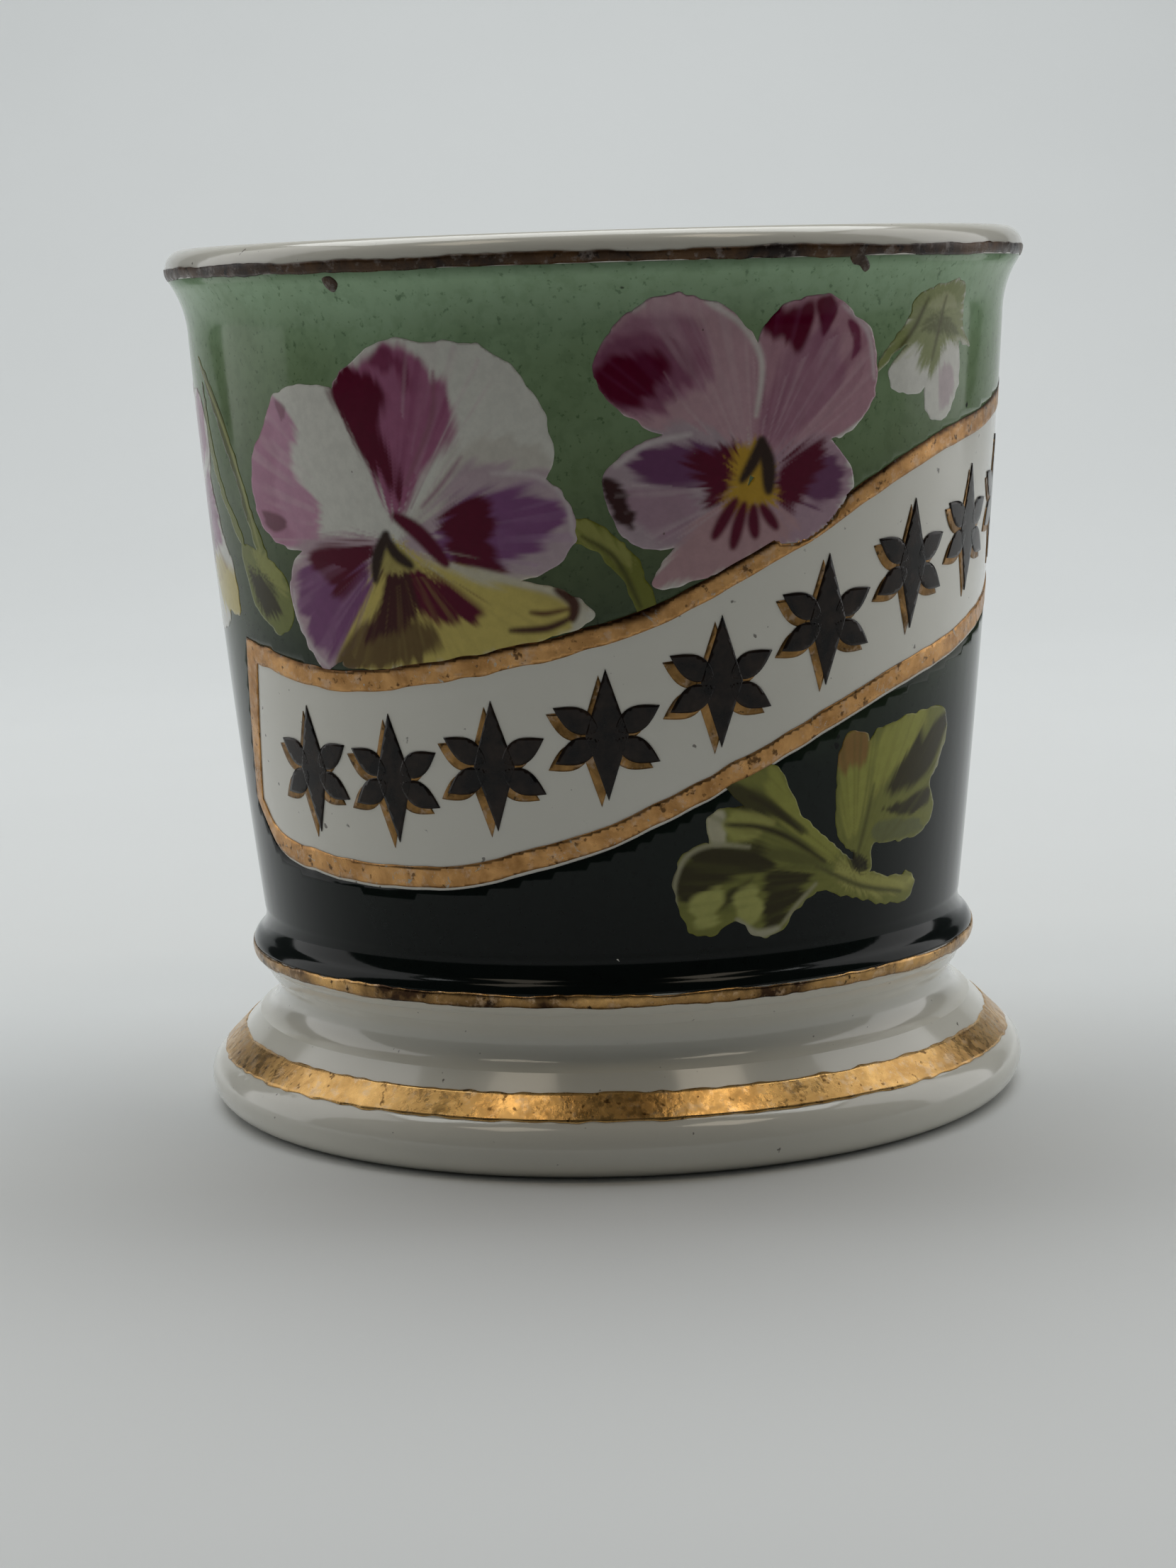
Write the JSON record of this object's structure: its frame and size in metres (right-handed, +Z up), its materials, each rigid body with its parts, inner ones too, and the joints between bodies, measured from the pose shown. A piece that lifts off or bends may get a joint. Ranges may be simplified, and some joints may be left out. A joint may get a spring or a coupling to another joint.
{
  "type": "shaving mug",
  "caption": "Porcelain shaving mug: flared cup on a pedestal foot, ear handle, gilt lines, green enamel ground with pansies and a diagonal ribbon banner.",
  "frame": {"origin": "centre of the foot ring's resting face", "axes": "+Z up along the mug's axis, -Y towards the painted front, +Y towards the handle"},
  "size_m": [0.0896, 0.1148, 0.09],
  "materials": {
    "glazed_porcelain": "gloss",
    "green_enamel": "gloss",
    "worn_gilding": "worn",
    "burnished_gilding": "burnished and worn",
    "black_enamel": "gloss",
    "pansy_enamel": "gloss",
    "leaf_enamel": "gloss"
  },
  "bodies": {
    "root": {"cup": "glazed_porcelain", "pedestal_foot": "glazed_porcelain", "handle": "glazed_porcelain", "ground_enamel": "green_enamel", "rim_gilt_line": "worn_gilding", "waist_gilt_line": "burnished_gilding", "foot_gilt_band": "burnished_gilding", "banner_gilding": "burnished_gilding", "banner_ornament": "black_enamel", "banner_ornament_shade": "burnished_gilding", "left_pansy": "pansy_enamel", "right_pansy": "pansy_enamel", "side_pansy": "pansy_enamel", "flower_bud": "pansy_enamel", "pansy_stem": "leaf_enamel", "leaf_sprig": "leaf_enamel", "leaf_spray": "leaf_enamel"}
  },
  "joints": []
}
